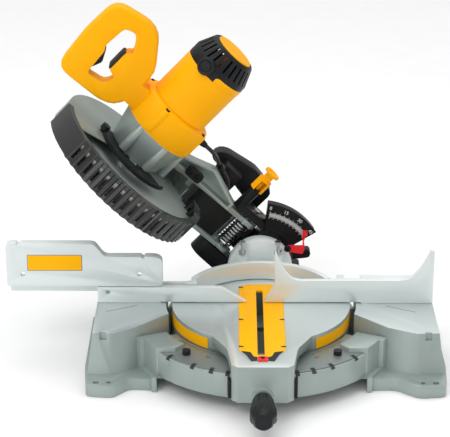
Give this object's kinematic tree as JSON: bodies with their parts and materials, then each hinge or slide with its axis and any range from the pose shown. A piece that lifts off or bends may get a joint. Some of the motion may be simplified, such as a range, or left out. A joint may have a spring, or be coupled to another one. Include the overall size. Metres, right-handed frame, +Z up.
{
  "type": "compound mitre saw",
  "caption": "Compound mitre saw: base with turning table and fence, tilting arm and a motor head with guarded blade, raised and tilted left.",
  "frame": {"origin": "on the mitre axis at bench level, below the plane of the fence's working face", "axes": "+Z up from the bench, +X to the right along the fence, +Y away from the user"},
  "size_m": [0.8, 0.7533, 0.6425],
  "materials": {
    "painted_casting": "silver paint on a rough casting, greenish grey",
    "machined_casting": "machined pale grey",
    "steel": "bright turned steel",
    "blade_steel": "ground disc, fine grain",
    "dark_steel": "blackened",
    "copper": "varnished windings",
    "black_plastic": "moulded, slight grain",
    "soft_grip": "soft, matt",
    "yellow_plastic": "orange yellow moulding",
    "red_plastic": "red",
    "smoke_plastic": "smoky clear moulding",
    "cord_rubber": "matt cord jacket",
    "black_casting": "black paint on a casting",
    "black_plate": "black scale plate with pale marks"
  },
  "bodies": {
    "base": {"base_casting": "painted_casting", "mitre_scale": "painted_casting", "scale_screw_right": "dark_steel", "scale_screw_left": "dark_steel", "mitre_pivot_pin": "steel", "fence_casting": "machined_casting"},
    "fence_slider": {"sliding_fence": "machined_casting"},
    "clamp_knob": {"fence_clamp_knob": "black_plastic"},
    "table": {"turntable": "painted_casting", "kerf_plate": "yellow_plastic", "mitre_pointer": "red_plastic", "detent_shoe_right": "black_plastic", "detent_shoe_left": "black_plastic", "bevel_stop_bolt_right": "steel", "bevel_stop_bolt_left": "steel", "bevel_pivot_bolt": "steel", "bevel_pointer": "red_plastic", "mains_gland": "black_plastic", "mains_cord": "cord_rubber", "mains_coil": "cord_rubber", "mains_tail": "cord_rubber", "mains_plug": "black_plastic"},
    "knob": {"mitre_knob": "black_plastic", "mitre_lock_rod": "steel"},
    "lever": {"bevel_lever": "black_plastic"},
    "arm": {"tilt_arm": "black_casting", "bevel_scale": "black_plate", "chop_pivot_shaft": "steel", "return_spring": "steel"},
    "pin": {"lock_down_pin": "yellow_plastic"},
    "head": {"head_casting": "painted_casting", "gear_case": "painted_casting", "guard_plate": "black_casting", "motor_collar": "yellow_plastic", "motor_housing": "yellow_plastic", "motor_end_cap": "black_plastic", "motor_disc": "yellow_plastic", "brush_cap_front": "black_plastic", "brush_cap_rear": "black_plastic", "bearing_plate": "machined_casting", "handle_front_half": "yellow_plastic", "handle_rear_half": "yellow_plastic", "handle_pad": "soft_grip", "dust_chute": "black_plastic", "arm_cover": "black_plastic", "side_bracket": "black_casting", "motor_lead_gland": "black_plastic", "motor_lead": "cord_rubber", "motor_lead_clip": "black_plastic"},
    "guard": {"lower_guard": "smoke_plastic"},
    "blade": {"saw_blade": "blade_steel", "inner_flange": "steel", "outer_flange": "steel", "arbor_shaft": "steel", "arbor_screw": "dark_steel", "driven_gear": "dark_steel"},
    "rotor": {"armature": "copper", "cooling_fan": "black_plastic"},
    "trigger": {"trigger": "black_plastic"},
    "spindle_button": {"spindle_button": "black_plastic"}
  },
  "joints": [
    {"name": "fence_slide", "type": "slide", "parent": "base", "child": "fence_slider", "axis": [1, 0, 0], "range_m": [0, 0.12]},
    {"name": "clamp_turn", "type": "hinge", "parent": "base", "child": "clamp_knob", "pos_m": [-0.25, 0.035, 0.123], "axis": [0, 1, 0], "range_deg": [-180, 180]},
    {"name": "mitre_turn", "type": "hinge", "parent": "base", "child": "table", "pos_m": [0, 0, 0.05], "axis": [0, 0, 1], "range_deg": [-45, 45]},
    {"name": "mitre_lock", "type": "hinge", "parent": "table", "child": "knob", "pos_m": [0, 0, 0.044], "axis": [0, 1, 0], "range_deg": [-180, 180]},
    {"name": "bevel_lock", "type": "hinge", "parent": "table", "child": "lever", "pos_m": [0, 0.23, 0.102], "axis": [0, 1, 0], "range_deg": [-60, 60]},
    {"name": "bevel_tilt", "type": "hinge", "parent": "table", "child": "arm", "pos_m": [0, 0.2, 0.102], "axis": [0, 1, 0], "range_deg": [-2, 49]},
    {"name": "lock_down_slide", "type": "slide", "parent": "arm", "child": "pin", "axis": [-0.6947, 0, -0.7193], "range_m": [0, 0.0115]},
    {"name": "chop", "type": "hinge", "parent": "arm", "child": "head", "pos_m": [-0.05467, 0.203, 0.15479], "axis": [0.6947, 0, 0.7193], "range_deg": [0, 60], "stiffness_Nm_per_rad": 12, "springref_deg": -51.57},
    {"name": "guard_turn", "type": "hinge", "parent": "head", "child": "guard", "pos_m": [-0.24673, 0.08801, 0.34026], "axis": [0.6947, 0, 0.7193], "range_deg": [-148, 0]},
    {"name": "blade_spin", "type": "hinge", "parent": "head", "child": "blade", "pos_m": [-0.24673, 0.08801, 0.34026], "axis": [0.6947, 0, 0.7193], "continuous": true},
    {"name": "rotor_spin", "type": "hinge", "parent": "head", "child": "rotor", "pos_m": [-0.24817, 0.12001, 0.34165], "axis": [0.6947, 0, 0.7193], "continuous": true},
    {"name": "trigger_press", "type": "slide", "parent": "head", "child": "trigger", "axis": [-0.7193, 0, 0.6947], "range_m": [0, 0.004], "stiffness_N_per_m": 500, "springref_m": -0.002},
    {"name": "spindle_press", "type": "slide", "parent": "head", "child": "spindle_button", "axis": [-0.6947, 0, -0.7193], "range_m": [0, 0.004], "stiffness_N_per_m": 500, "springref_m": -0.002}
  ],
  "couplings": [
    {"joint": "guard_turn", "follows": "chop", "ratio": -2.4667},
    {"joint": "rotor_spin", "follows": "blade_spin", "ratio": -3.5714}
  ]
}
